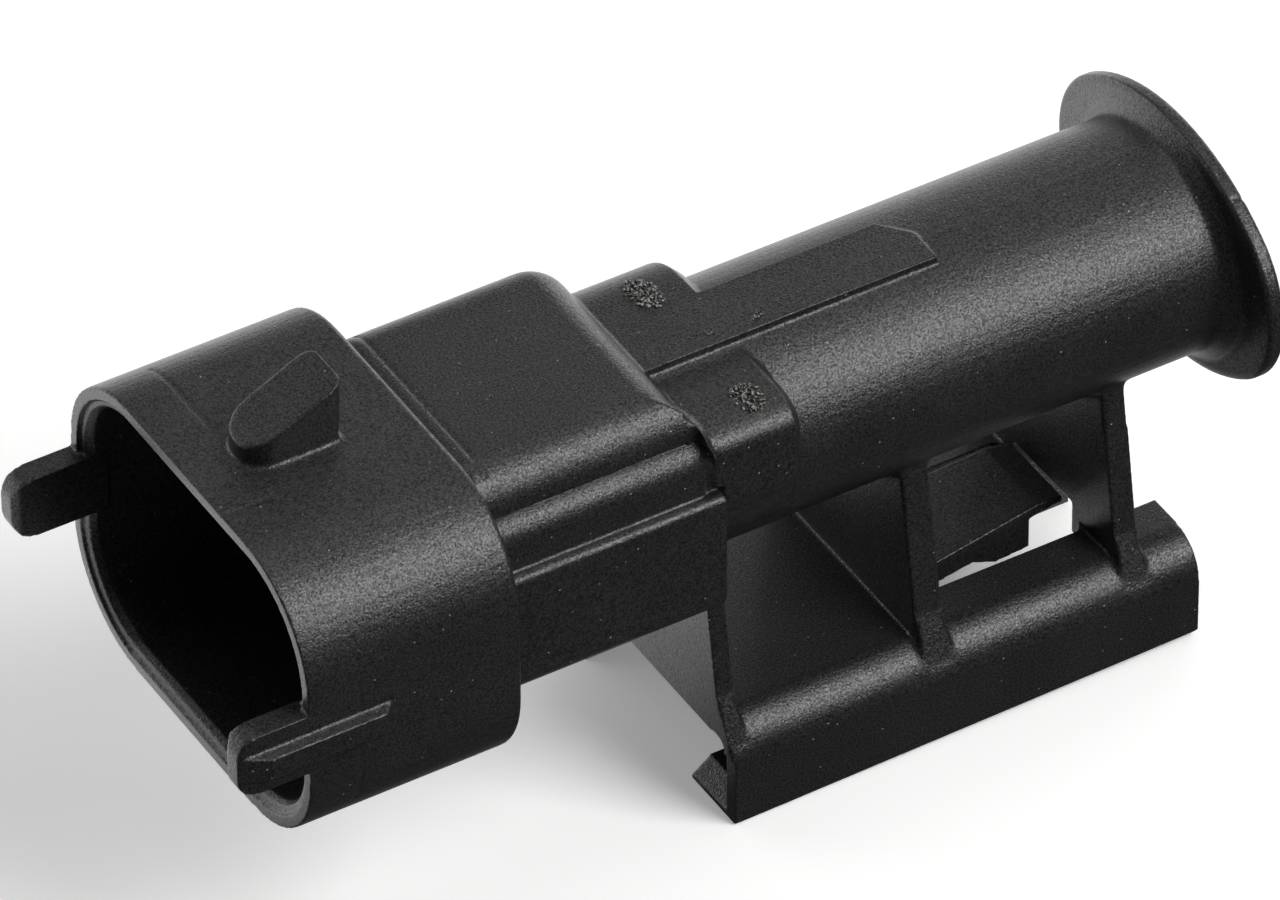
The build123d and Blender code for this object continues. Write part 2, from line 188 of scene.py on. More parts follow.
def nylonMaterial():
    material, tree = newMaterial("glassFilledNylonMoulded")
    place = addNode(tree, "ShaderNodeTexCoord").outputs["Object"]
    pits = addNode(tree, "ShaderNodeTexVoronoi", {
        "Vector": place, "Scale": 1 / (nylon["grain"] * mm), "Smoothness": nylon["grainRounding"],
    }, feature="SMOOTH_F1")
    fine = addNode(tree, "ShaderNodeTexNoise", {
        "Vector": place, "Scale": 1 / (nylon["fineGrain"] * mm), "Detail": 2.0, "Roughness": 0.75,
    })
    clouds = addNode(tree, "ShaderNodeTexNoise", {
        "Vector": place, "Scale": 1 / (nylon["clouds"] * mm), "Detail": 3.0, "Roughness": 0.55,
    })
    fibres = addNode(tree, "ShaderNodeTexVoronoi", {
        "Vector": place, "Scale": 1 / (nylon["fibreSpacing"] * mm),
    }, feature="F1")
    fibreMask = addNode(tree, "ShaderNodeMapRange", {
        "Value": fibres.outputs["Distance"],
        "From Min": nylon["fibreCore"], "From Max": nylon["fibreShare"],
        "To Min": nylon["fibrePaleness"], "To Max": 0.0,
    })
    body = addNode(tree, "ShaderNodeMix", {
        "Factor": clouds.outputs["Fac"],
        "A": linearColour(nylon["deep"]), "B": linearColour(nylon["worn"]),
    }, data_type="RGBA")
    colour = addNode(tree, "ShaderNodeMix", {
        "Factor": fibreMask.outputs["Result"],
        "A": body.outputs["Result"], "B": linearColour(nylon["fibre"]),
    }, data_type="RGBA")
    dots = addNode(tree, "ShaderNodeTexNoise", {
        "Vector": place, "Scale": 1 / (nylon["speckle"] * mm), "Detail": 1.0, "Roughness": 0.7,
    })
    uneven = addNode(tree, "ShaderNodeMapRange", {
        "Value": dots.outputs["Fac"],
        "From Min": nylon["speckleFrom"], "From Max": nylon["speckleTo"],
        "To Min": nylon["speckleDark"], "To Max": nylon["speckleLight"],
    })
    speckled = addNode(tree, "ShaderNodeVectorMath", {
        0: colour.outputs["Result"], "Scale": uneven.outputs["Result"],
    }, operation="SCALE")
    gloss = addNode(tree, "ShaderNodeMath", {
        0: uneven.outputs["Result"], 1: nylon["gloss"],
    }, operation="MULTIPLY")
    rough = addNode(tree, "ShaderNodeMapRange", {
        "Value": clouds.outputs["Fac"], "To Min": nylon["roughLow"], "To Max": nylon["roughHigh"],
    })
    height = addNode(tree, "ShaderNodeMath", {
        0: pits.outputs["Distance"], 1: nylon["pitShare"], 2: fine.outputs["Fac"],
    }, operation="MULTIPLY_ADD")
    bump = addNode(tree, "ShaderNodeBump", {
        "Strength": 1.0, "Distance": nylon["grainDepth"] * mm, "Height": height.outputs[0],
    })
    shader = addNode(tree, "ShaderNodeBsdfPrincipled", {
        "Base Color": speckled.outputs["Vector"],
        "Roughness": rough.outputs["Result"],
        "IOR": nylon["ior"],
        "Specular IOR Level": gloss.outputs[0],
        "Normal": bump.outputs["Normal"],
    })
    finishMaterial(tree, shader)
    return material


# the same nylon where a gate was torn off: pale and dark crumbs side by side

tornFinish = {
    "dark": "0b0b0b",
    "pale": "8d8a84",
    "crumb": 0.16,  # mm
    "paleFrom": 0.48,
    "paleTo": 0.62,
    "rough": 0.34,
}


def tornMaterial():
    material, tree = newMaterial("glassFilledNylonTorn")
    place = addNode(tree, "ShaderNodeTexCoord").outputs["Object"]
    crumbs = addNode(tree, "ShaderNodeTexNoise", {
        "Vector": place, "Scale": 1 / (tornFinish["crumb"] * mm), "Detail": 1.0,
    })
    share = addNode(tree, "ShaderNodeMapRange", {
        "Value": crumbs.outputs["Fac"],
        "From Min": tornFinish["paleFrom"], "From Max": tornFinish["paleTo"],
    })
    colour = addNode(tree, "ShaderNodeMix", {
        "Factor": share.outputs["Result"],
        "A": linearColour(tornFinish["dark"]), "B": linearColour(tornFinish["pale"]),
    }, data_type="RGBA")
    shader = addNode(tree, "ShaderNodeBsdfPrincipled", {
        "Base Color": colour.outputs["Result"], "Roughness": tornFinish["rough"], "IOR": nylon["ior"],
    })
    finishMaterial(tree, shader)
    return material


# tin-plated brass strip, stamped and folded: pale grey metal with faint rolling lines

contactFinish = {
    "bright": "c9c3b4",
    "dull": "a39c8b",
    "lineSpacing": 0.12,  # mm
    "lineStretch": 0.04,
    "clouds": 1.6,  # mm
    "roughLow": 0.26,
    "roughHigh": 0.42,
    "lineDepth": 0.002,  # mm
    "lineStrength": 0.6,
}


def contactMaterial():
    material, tree = newMaterial("tinPlatedBrassStamped")
    place = addNode(tree, "ShaderNodeTexCoord").outputs["Object"]
    stretched = addNode(tree, "ShaderNodeMapping", {
        "Vector": place, "Scale": (contactFinish["lineStretch"], 1.0, 1.0),
    })
    lines = addNode(tree, "ShaderNodeTexNoise", {
        "Vector": stretched.outputs["Vector"],
        "Scale": 1 / (contactFinish["lineSpacing"] * mm), "Detail": 2.0,
    })
    clouds = addNode(tree, "ShaderNodeTexNoise", {
        "Vector": place, "Scale": 1 / (contactFinish["clouds"] * mm), "Detail": 3.0,
    })
    colour = addNode(tree, "ShaderNodeMix", {
        "Factor": clouds.outputs["Fac"],
        "A": linearColour(contactFinish["bright"]), "B": linearColour(contactFinish["dull"]),
    }, data_type="RGBA")
    rough = addNode(tree, "ShaderNodeMapRange", {
        "Value": lines.outputs["Fac"],
        "To Min": contactFinish["roughLow"], "To Max": contactFinish["roughHigh"],
    })
    bump = addNode(tree, "ShaderNodeBump", {
        "Strength": contactFinish["lineStrength"], "Distance": contactFinish["lineDepth"] * mm,
        "Height": lines.outputs["Fac"],
    })
    shader = addNode(tree, "ShaderNodeBsdfPrincipled", {
        "Base Color": colour.outputs["Result"],
        "Metallic": 1.0,
        "Roughness": rough.outputs["Result"],
        "Normal": bump.outputs["Normal"],
    })
    finishMaterial(tree, shader)
    return material


# oiled silicone rubber, moulded: even brick red, slightly waxy

sealFinish = {
    "light": "8f3a26",
    "dark": "6d2617",
    "clouds": 1.2,  # mm
    "grain": 0.2,  # mm
    "grainDepth": 0.004,  # mm
    "grainStrength": 0.5,
    "rough": 0.42,
    "ior": 1.41,
}


def sealMaterial():
    material, tree = newMaterial("siliconeRubberMoulded")
    place = addNode(tree, "ShaderNodeTexCoord").outputs["Object"]
    clouds = addNode(tree, "ShaderNodeTexNoise", {
        "Vector": place, "Scale": 1 / (sealFinish["clouds"] * mm), "Detail": 2.0,
    })
    grain = addNode(tree, "ShaderNodeTexNoise", {
        "Vector": place, "Scale": 1 / (sealFinish["grain"] * mm), "Detail": 1.0,
    })
    colour = addNode(tree, "ShaderNodeMix", {
        "Factor": clouds.outputs["Fac"],
        "A": linearColour(sealFinish["light"]), "B": linearColour(sealFinish["dark"]),
    }, data_type="RGBA")
    bump = addNode(tree, "ShaderNodeBump", {
        "Strength": sealFinish["grainStrength"], "Distance": sealFinish["grainDepth"] * mm,
        "Height": grain.outputs["Fac"],
    })
    shader = addNode(tree, "ShaderNodeBsdfPrincipled", {
        "Base Color": colour.outputs["Result"],
        "Roughness": sealFinish["rough"],
        "IOR": sealFinish["ior"],
        "Normal": bump.outputs["Normal"],
    })
    finishMaterial(tree, shader)
    return material


nylonFinish = nylonMaterial()
tornNylon = tornMaterial()
contactMetal = contactMaterial()
sealRubber = sealMaterial()
print("materials made")


# moulded pieces: each solid is remeshed finely, softened at every edge and thinned again
# where it is flat; before that, the housing gets its parting lines and its finer forms

mouldings = {
    "mouldedHousing": {
        "node": "housing", "body": "housing_body",
        "voxel": 0.1, "smoothing": 5, "triangles": 185000,
    },
    "mouldedLatch": {
        "node": "rail_latch", "body": "latch",
        "voxel": 0.06, "smoothing": 5, "triangles": 24000,
    },
}

mergeDistance = 0.002  # mm
smoothFactor = 0.5

# grooves (and seams, where the depth is negative) that the tool's halves leave: each lies
# across x (0) or y (1) at a place, within limits, in mm
partingMarks = [
    # witness line round the shroud
    {"across": 0, "at": 3.1, "slope": 0.0, "from": (-9, -14, -10), "to": (9, 14, 9.7),
     "depth": 0.06, "halfWidth": 0.2, "sides": "round"},
    # two lines across the body behind the shroud
    {"across": 0, "at": 14.1, "slope": 0.0, "from": (13, -6.3, 6.9), "to": (15.5, 8.6, 9),
     "depth": 0.1, "halfWidth": 0.2, "sides": "top"},
    {"across": 0, "at": 14.9, "slope": 0.0, "from": (13, -6.3, 6.9), "to": (15.5, 8.6, 9),
     "depth": 0.09, "halfWidth": 0.2, "sides": "top"},
    # seam along the top of the body
    {"across": 1, "at": 1.52, "slope": -0.071, "from": (13.2, -2, 6.9), "to": (25.4, 3, 9),
     "depth": -0.06, "halfWidth": 0.17, "sides": "top"},
    # seam along the top of the shroud, from a nick in the rim
    {"across": 1, "at": -3.85, "slope": 0.0, "from": (-0.3, -5, 8.6), "to": (3.0, -3, 9.7),
     "depth": 0.06, "halfWidth": 0.2, "sides": "top"},
    # nick across the flange's rim
    {"across": 1, "at": -6.3, "slope": 0.0, "from": (61.7, -7, 4.5), "to": (63, -5.6, 7),
     "depth": 0.06, "halfWidth": 0.2, "sides": "any"},
    # faint seam along the crown of the tube
    {"across": 1, "at": -2.39, "slope": 0.037, "from": (45.7, -2, 5.9), "to": (60.5, 1, 7),
     "depth": -0.05, "halfWidth": 0.16, "sides": "top"},
]

# the shroud's line keeps to its outside
shroudInside = {"half": (12.2, 8.6), "end": 5.0, "least": 0.03}  # mm

# the webs' feet run down in one steep face into the rail's sides
webFeet = {
    "webs": ((28.5, 29.6), (41.25, 43.0), (54.25, 55.75)),  # mm
    "margin": 0.08,
    "from": -14.0,
    "to": -17.0,
    "half": 7.37,
    "edge": 0.1,
    "spread": 0.477,
    "reach": 0.7,
}

# the body's near top edge is one wide round, and the shoulder below it starts higher up
ridgeFit = {
    "start": 13.15,  # mm
    "end": 27.4,
    "top": 7.6,
    "centre": (-4.6, 4.8),  # of the wide round, in y and z
    "round": 2.6,
    "oldSide": 1.9,
    "oldCorner": (0.5, 1.2, 1.4),
    "oldFoot": 4.56,
    "foot": 4.91,
    "shoulderIn": -6.42,
    "shoulderOut": -8.4,
    "shoulderLow": 1.9,
    "shoulderBend": 2.8,
    "shoulderRise": 0.52,
    "stretchFrom": 26.0,
    "stretchOver": 1.3,
    "stretch": 0.6,
    "least": 0.01,
}

# the collar leans out a little along its near top edge, and under its middle it follows
# the tube
collarFit = {
    "start": 27.4,  # mm
    "fade": 0.4,
    "ledge": 28.22,
    "ledgeTop": 2.2,
    "end": 33.45,
    "side": (6.2, 1.2),  # where each change starts, and over how much it grows
    "out": 0.55,
    "outUp": (-1.0, 2.0),
    "down": 0.35,
    "downUp": (3.0, 1.5),
    "lowest": -6.75,
    "tubeHalf": (7.5, 6.68),
    "tubeAxis": -0.32,
    "blend": 0.6,
    "blendDepth": 3.5,
    "web": (28.4, 29.7),
    "webCrown": (-4.8, 5.95),
    "webSpread": 0.16,
}

# corners that the tool fills with small fillets
softPlaces = {
    "passes": 34,
    # the flange's bore isn't softened: it faces inward, above and behind these
    "boreFacing": -0.5,
    "boreLow": -9.3,  # mm
    "boreFrom": 59.0,
    "boxes": (
        ((59.8, -9.2, -9.2), (61.97, 9.2, 9.2)),
        ((26.9, -9.0, 3.5), (28.5, -6.2, 6.4)),
        ((2.2, -2.9, 9.0), (9.8, 2.9, 10.0)),
        ((33.0, -8.3, 1.0), (34.7, -4.5, 6.3)),
        ((27.9, -7.6, -7.5), (30.3, 7.6, -3.0)),
        ((40.6, -7.6, -7.5), (43.7, 7.6, -3.0)),
        ((53.6, -7.6, -7.5), (56.4, 7.6, -3.0)),
        ((28.0, -9.2, -17.6), (30.1, -6.8, -14.4)),
        ((40.7, -9.2, -17.6), (43.5, -6.8, -14.4)),
        ((53.7, -9.2, -17.6), (56.3, -6.8, -14.4)),
        ((28.0, 6.8, -17.6), (30.1, 9.2, -14.4)),
        ((40.7, 6.8, -17.6), (43.5, 9.2, -14.4)),
        ((53.7, 6.8, -17.6), (56.3, 9.2, -14.4)),
    ),
}

facingLimits = {
    "any": lambda normals: normals[:, 0] < 2,
    "round": lambda normals: np.abs(normals[:, 0]) < 0.5,
    "top": lambda normals: normals[:, 2] > 0.7,
}


def plainMesh(piece):
    graph = bpy.context.evaluated_depsgraph_get()
    mesh = bpy.data.meshes.new_from_object(piece.evaluated_get(graph))
    piece.modifiers.clear()
    spare = piece.data
    piece.data = mesh
    bpy.data.meshes.remove(spare)
    return mesh


def mergedCopy(node, name):
    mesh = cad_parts[node].data.copy()
    mesh.name = name
    mesh.materials.clear()
    cleanMesh(mesh, lambda shape: bmesh.ops.remove_doubles(
        shape, verts=shape.verts, dist=mergeDistance * mm))
    return linkedObject(name, mesh)


def readVectors(mesh, field):
    values = np.empty(len(mesh.vertices) * 3, dtype=np.float32)
    mesh.vertices.foreach_get(field, values)
    return values.reshape(-1, 3)


def cutMarks(places, normals):
    inset = np.zeros(len(places), dtype=np.float32)
    for mark in partingMarks:
        axis = mark["across"]
        line = mark["at"] + mark["slope"] * places[:, 0]
        nearness = 1 - np.abs(places[:, axis] - line) / mark["halfWidth"]
        near = (nearness > 0) & facingLimits[mark["sides"]](normals)
        for side in range(3):
            near &= (places[:, side] > mark["from"][side]) & (places[:, side] < mark["to"][side])
        inset[near] += mark["depth"] * nearness[near]
    halfY, halfZ = shroudInside["half"]
    inside = (np.abs(places[:, 1]) < halfY) & (np.abs(places[:, 2]) < halfZ)
    inside &= places[:, 0] < shroudInside["end"]
    inset[inside & (inset > shroudInside["least"])] = 0
    places -= normals * inset[:, None]


def straightenFeet(places):
    feet = webFeet
    line = feet["half"] + (feet["from"] - places[:, 2]) * feet["spread"]
    out = np.abs(places[:, 1])
    near = (places[:, 2] < feet["from"]) & (places[:, 2] > feet["to"]) & (out > line - feet["reach"])
    near &= out > feet["half"] - feet["edge"]
    for start, end in feet["webs"]:
        here = near & (places[:, 0] > start - feet["margin"]) & (places[:, 0] < end + feet["margin"])
        places[here, 1] = np.sign(places[here, 1]) * line[here]


def reshapeRidge(places):
    fit = ridgeFit
    x, y, z = places.T.copy()
    centreY, centreZ = fit["centre"]
    here = (x > fit["start"]) & (x < fit["end"])
    crest = here & (y < centreY) & (z >= fit["oldFoot"]) & (z < fit["top"])
    out, up = centreY - y[crest], np.maximum(z[crest] - centreZ, 0)
    reach = np.maximum(np.hypot(out, up), fit["least"])
    cosine, sine = out / reach, up / reach
    cornerOut, cornerUp, cornerRound = fit["oldCorner"]
    toward = cosine * cornerOut + sine * cornerUp
    spare = toward ** 2 - cornerOut ** 2 - cornerUp ** 2 + cornerRound ** 2
    old = toward + np.sqrt(np.maximum(spare, 0))
    side = fit["oldSide"] / np.maximum(cosine, fit["least"])
    top = fit["round"] / np.maximum(sine, fit["least"])
    old = np.where(side * sine <= cornerUp, side, np.where(top * cosine <= cornerOut, top, old))
    scale = fit["round"] / old
    places[crest, 1] = centreY - out * scale
    places[crest, 2] = np.maximum(centreZ + up * scale, fit["foot"])
    shoulder = here & (z < fit["oldFoot"]) & (z > fit["shoulderLow"])
    shoulder &= (y < fit["shoulderIn"]) & (y > fit["shoulderOut"])
    rise = ramp(z, fit["shoulderLow"], fit["shoulderBend"] - fit["shoulderLow"])
    inner = centreY - fit["round"]
    places[shoulder, 2] = np.where(
        y[shoulder] > inner, fit["foot"], z[shoulder] + fit["shoulderRise"] * rise[shoulder])
    places[shoulder, 1] = np.minimum(y[shoulder], inner)
    late = ramp(x, fit["stretchFrom"], fit["stretchOver"])
    places[shoulder, 0] += fit["stretch"] * late[shoulder]


def reshapeCollar(places):
    fit = collarFit
    x, y, z = places.T
    lower = z < fit["ledgeTop"]
    along = np.where(lower, x > fit["ledge"], ramp(x, fit["start"], fit["fade"]))
    along = along * (x < fit["end"])
    across = ramp(-y, *fit["side"])
    shift = along * across * ramp(z, *fit["outUp"])
    drop = along * across * ramp(z, *fit["downUp"])
    places[:, 1] -= fit["out"] * shift
    places[:, 2] -= fit["down"] * drop
    # below, both sides draw in to the tube, and the first web keeps its width
    share = np.clip(1 - ((z - fit["tubeAxis"]) / fit["tubeHalf"][1]) ** 2, 0, 1)
    rise = np.clip(1 + z / fit["blendDepth"], 0, 1)
    half = fit["tubeHalf"][0] * np.sqrt(share) + fit["blend"] * rise * rise * (3 - 2 * rise)
    crown, crownHalf = fit["webCrown"]
    inWeb = (x > fit["web"][0]) & (x < fit["web"][1]) & (z < crown)
    half = np.where(inWeb, np.maximum(half, crownHalf + (crown - z) * fit["webSpread"]), half)
    low = (x > fit["ledge"]) & (x < fit["end"]) & (np.abs(y) > half)
    low &= (z < 0) & (z > fit["lowest"])
    places[low, 1] = np.sign(y[low]) * half[low]


def softGroup(piece, places, normals):
    soft = np.zeros(len(places), dtype=bool)
    for low, high in softPlaces["boxes"]:
        soft |= np.all((places > low) & (places < high), axis=1)
    radial = places[:, 1] * normals[:, 1] + places[:, 2] * normals[:, 2]
    soft &= (
        (radial > softPlaces["boreFacing"])
        | (places[:, 2] < softPlaces["boreLow"]) | (places[:, 0] < softPlaces["boreFrom"]))
    group = piece.vertex_groups.new(name="softPlaces")
    group.add(np.nonzero(soft)[0].tolist(), 1.0, "ADD")


def addSmoothing(piece, name, passes):
    smooth = piece.modifiers.new(name, "SMOOTH")
    smooth.factor = smoothFactor
    smooth.iterations = passes
    return smooth


def shapeHousing(piece):
    mesh = piece.data
    places = readVectors(mesh, "co") / mm
    normals = readVectors(mesh, "normal")
    cutMarks(places, normals)
    straightenFeet(places)
    reshapeRidge(places)
    reshapeCollar(places)
    mesh.vertices.foreach_set("co", (places * mm).ravel())
    mesh.update()
    softGroup(piece, places, normals)
    addSmoothing(piece, "fillets", softPlaces["passes"]).vertex_group = "softPlaces"


def finishPiece(piece, material, body, node):
    mesh = piece.data
    mesh.materials.clear()
    mesh.materials.append(material)
    shadeSmooth(mesh)
    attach(piece, body)
    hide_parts(node)


def softenedCopy(name, setup):
    piece = mergedCopy(setup["node"], name)
    remesh = piece.modifiers.new("fine", "REMESH")
    remesh.mode = "VOXEL"
    remesh.voxel_size = setup["voxel"] * mm
    mesh = plainMesh(piece)
    if setup["node"] == "housing":
        shapeHousing(piece)
    addSmoothing(piece, "soft", setup["smoothing"])
    thin = piece.modifiers.new("thin", "DECIMATE")
    thin.ratio = min(1.0, setup["triangles"] / (2 * len(mesh.polygons)))
    plainMesh(piece)
    print(name, "has", len(piece.data.polygons), "faces")
    return piece


for name, setup in mouldings.items():
    finishPiece(softenedCopy(name, setup), nylonFinish, setup["body"], setup["node"])
print("mouldings made")


# stamped contacts: the strip's edges are rolled over a little by the stamping tool

contacts = {
    "stampedContactNear": {"node": "contact_near", "voxel": 0.06, "smoothing": 2, "triangles": 60000},
    "stampedContactFar": {"node": "contact_far", "voxel": 0.06, "smoothing": 2, "triangles": 60000},
}

for name, setup in contacts.items():
    finishPiece(softenedCopy(name, setup), contactMetal, "housing_body", setup["node"])
print("contacts made")


# wire seals: turned profiles with rounded ribs and a funnel for the wire at the rear

seals = {
    "ribbedSealNear": {"node": "wire_seal_near", "side": -1},
    "ribbedSealFar": {"node": "wire_seal_far", "side": 1},
}

sealShape = {
    "pitchAcross": 6.0,  # mm between the two seals
    "start": 36.5,
    "neckEnd": 39.1,
    "end": 44.9,
    "hole": 0.95,
    "neckRadius": 1.7,
    "coreRadius": 2.25,
    "ribRadius": 2.67,
    "ribCount": 3,
    "ribSteps": 14,
    "ribSharpness": 1.3,
    "funnelDepth": 0.9,
    "funnelRadius": 1.5,
    "edge": 0.12,
    "turns": 72,
}


def sealProfile():
    shape = sealShape
    edge = shape["edge"]
    profile = [
        (shape["start"], shape["hole"]),
        (shape["start"], shape["neckRadius"] - edge),
        (shape["start"] + edge, shape["neckRadius"]),
        (shape["neckEnd"] - edge, shape["neckRadius"]),
        (shape["neckEnd"], shape["neckRadius"] + edge),
        (shape["neckEnd"], shape["coreRadius"] - edge),
    ]
    pitch = (shape["end"] - shape["neckEnd"]) / shape["ribCount"]
    steps = shape["ribSteps"] * shape["ribCount"]
    ribHeight = shape["ribRadius"] - shape["coreRadius"]
    for step in range(steps + 1):
        share = step / steps
        wave = 0.5 - 0.5 * math.cos(2 * math.pi * share * shape["ribCount"])
        x = shape["neckEnd"] + edge + share * (pitch * shape["ribCount"] - 2 * edge)
        profile.append((x, shape["coreRadius"] + ribHeight * wave ** shape["ribSharpness"]))
    profile += [
        (shape["end"], shape["coreRadius"] - edge),
        (shape["end"], shape["funnelRadius"] + edge),
        (shape["end"] - edge, shape["funnelRadius"]),
        (shape["end"] - shape["funnelDepth"], shape["hole"]),
    ]
    return profile


def ribbedSeal(name, setup):
    profile = sealProfile()
    turns, count = sealShape["turns"], len(profile)
    centre = setup["side"] * sealShape["pitchAcross"] / 2
    points = []
    for turn in range(turns):
        angle = 2 * math.pi * turn / turns
        for x, radius in profile:
            y, z = centre + radius * math.cos(angle), radius * math.sin(angle)
            points.append((x * mm, y * mm, z * mm))
    faces = []
    for turn in range(turns):
        here, after = turn * count, (turn + 1) % turns * count
        for index in range(count):
            step = (index + 1) % count
            faces.append((here + index, here + step, after + step, after + index))
    mesh = bpy.data.meshes.new(name)
    mesh.from_pydata(points, [], faces)
    cleanMesh(mesh, lambda shape: bmesh.ops.recalc_face_normals(shape, faces=shape.faces))
    return linkedObject(name, mesh)


for name, setup in seals.items():
    finishPiece(ribbedSeal(name, setup), sealRubber, "housing_body", setup["node"])
print("seals made")


# node trees that lay small marks along a line or over a patch

def markTree(name, inputs):
    tree = bpy.data.node_groups.new(name, "GeometryNodeTree")
    tree.interface.new_socket("Geometry", in_out="INPUT", socket_type="NodeSocketGeometry")
    for label, kind in inputs:
        tree.interface.new_socket(label, in_out="INPUT", socket_type=kind)
    tree.interface.new_socket("Geometry", in_out="OUTPUT", socket_type="NodeSocketGeometry")
    return tree, tree.nodes.new("NodeGroupInput")


def closeTree(tree, geometry, material):
    whole = addNode(tree, "GeometryNodeRealizeInstances", {"Geometry": geometry})
    finish = addNode(tree, "GeometryNodeSetMaterial", {"Geometry": whole.outputs["Geometry"]})
    finish.inputs["Material"].default_value = material
    addNode(tree, "NodeGroupOutput", {"Geometry": finish.outputs["Geometry"]})


def grownPiece(name, tree, values, body):
    piece = linkedObject(name, bpy.data.meshes.new(name))
    grow = piece.modifiers.new("grow", "NODES")
    grow.node_group = tree
    for item in tree.interface.items_tree:
        if item.item_type == "SOCKET" and item.in_out == "INPUT" and item.name in values:
            grow[item.identifier] = values[item.name]
    shadeSmooth(plainMesh(piece))
    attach(piece, body)
    return piece


# rows of tiny domes along the collar and the pad, left by pin-pricks in the tool

prickRows = {
    "prickRowCollar": {"from": (27.7, -1.37, 6.4), "to": (32.9, -1.18, 6.4)},
    "prickRowPad": {"from": (33.4, -1.16, 6.4), "to": (42.9, -0.8, 6.4)},
}

prickShape = {"pitch": 0.45, "radius": 0.09, "rise": 0.35}  # mm, and height over radius


def prickTree():
    tree, given = markTree("prickRow", [
        ("Start", "NodeSocketVector"),
        ("Step", "NodeSocketVector"),
        ("Count", "NodeSocketInt"),
        ("Radius", "NodeSocketFloat"),
        ("Rise", "NodeSocketFloat"),
    ])
    row = addNode(tree, "GeometryNodeMeshLine", {
        "Count": given.outputs["Count"],
        "Start Location": given.outputs["Start"],
        "Offset": given.outputs["Step"],
    }, mode="OFFSET")
    dome = addNode(tree, "GeometryNodeMeshUVSphere", {
        "Segments": 14, "Rings": 8, "Radius": given.outputs["Radius"],
    })
    flat = addNode(tree, "ShaderNodeCombineXYZ", {"X": 1.0, "Y": 1.0, "Z": given.outputs["Rise"]})
    placed = addNode(tree, "GeometryNodeInstanceOnPoints", {
        "Points": row.outputs["Mesh"], "Instance": dome.outputs["Mesh"], "Scale": flat.outputs["Vector"],
    })
    closeTree(tree, placed.outputs["Instances"], nylonFinish)
    return tree


rowTree = prickTree()
for name, row in prickRows.items():
    first, last = (Vector(row[end]) * mm for end in ("from", "to"))
    count = int((last - first).length / (prickShape["pitch"] * mm)) + 1
    grownPiece(name, rowTree, {
        "Start": first,
        "Step": (last - first) / (count - 1),
        "Count": count,
        "Radius": prickShape["radius"] * mm,
        "Rise": prickShape["rise"],
    }, "housing_body")
print("prick rows made")


# torn stubs that the tool's gates leave: a crust of small rough shards

gateStubs = {
    "gateStubFar": {"centre": (30.3, 3.25), "size": (3.1, 1.7), "turn": -83,
                    "density": 34, "shard": 0.13, "seed": 4},
    "gateStubNear": {"centre": (31.0, -6.35), "size": (2.2, 1.7), "turn": -80,
                     "density": 36, "shard": 0.13, "seed": 9},
    "gateStubPad": {"centre": (34.6, -1.6), "size": (0.8, 0.45), "turn": 30,
                    "density": 70, "shard": 0.08, "seed": 15},
    "gateStubCollar": {"centre": (31.7, -1.55), "size": (0.5, 0.35), "turn": 20,
                       "density": 70, "shard": 0.07, "seed": 21},
}


gateShape = {
    "above": 20.0,  # mm, from where the shards drop onto the housing
    "edges": 32,
    "spin": (0.5, 0.5, 6.28),
    "smallest": (0.6, 0.5, 0.5),
    "largest": (1.5, 1.1, 1.1),
    "tear": 0.12,  # mm
}


